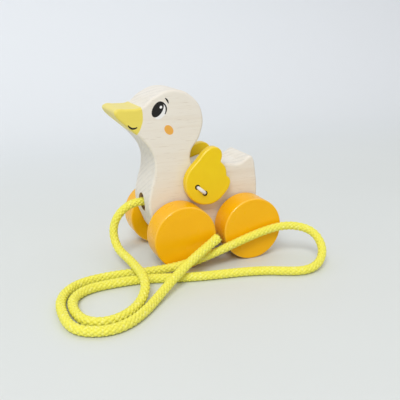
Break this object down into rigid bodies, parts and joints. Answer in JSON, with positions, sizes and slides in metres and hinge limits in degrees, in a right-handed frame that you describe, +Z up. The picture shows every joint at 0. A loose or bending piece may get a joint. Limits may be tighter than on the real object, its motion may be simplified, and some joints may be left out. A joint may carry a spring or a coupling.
{
  "type": "wheeled pull toy",
  "caption": "Wooden pull-along duck with painted wheels on dowel axles, wings sewn on with elastic, and a braided pull cord knotted in its belly",
  "frame": {"origin": "On the floor under the middle of the toy's length and width, the loose cord left out", "axes": "-X is forward, where the beak points; +Y is the duck's right side; +Z is up, from the floor through the head"},
  "size_m": [0.1485, 0.112, 0.0944],
  "materials": {
    "pale_wood": "pale bare beech, thin whitewash, painted beak and printed face",
    "dowel_wood": "bare dowel",
    "orange_paint": "semi-gloss orange paint on wood",
    "yellow_paint": "satin yellow paint on wood",
    "white_elastic": "white covered elastic",
    "lemon_braid": "round braided cord, lemon yellow"
  },
  "bodies": {
    "duck": {"duck_body": "pale_wood", "elastic_upper_strand": "white_elastic", "elastic_lower_strand": "white_elastic", "pull_cord": "lemon_braid", "pull_cord_knot": "lemon_braid"},
    "front_wheels": {"front_axle": "dowel_wood", "front_left_wheel": "orange_paint", "front_right_wheel": "orange_paint"},
    "rear_wheels": {"rear_axle": "dowel_wood", "rear_left_wheel": "orange_paint", "rear_right_wheel": "orange_paint"},
    "left_wing": {"left_wing": "yellow_paint", "left_wing_stitch": "white_elastic"},
    "right_wing": {"right_wing": "yellow_paint", "right_wing_stitch": "white_elastic"}
  },
  "joints": [
    {"name": "front_axle_spin", "type": "hinge", "parent": "duck", "child": "front_wheels", "pos_m": [-0.0124, 0, 0.0175], "axis": [0, 1, 0], "continuous": true},
    {"name": "rear_axle_spin", "type": "hinge", "parent": "duck", "child": "rear_wheels", "pos_m": [0.0276, 0, 0.0175], "axis": [0, 1, 0], "continuous": true},
    {"name": "left_wing_flap", "type": "hinge", "parent": "duck", "child": "left_wing", "pos_m": [-0.00334, -0.0139, 0.03529], "axis": [0.7547, 0, -0.6561], "range_deg": [0, 15], "stiffness_Nm_per_rad": 0.01},
    {"name": "right_wing_flap", "type": "hinge", "parent": "duck", "child": "right_wing", "pos_m": [-0.00512, 0.0139, 0.0387], "axis": [-0.3907, 0, 0.9205], "range_deg": [0, 15], "stiffness_Nm_per_rad": 0.01}
  ]
}
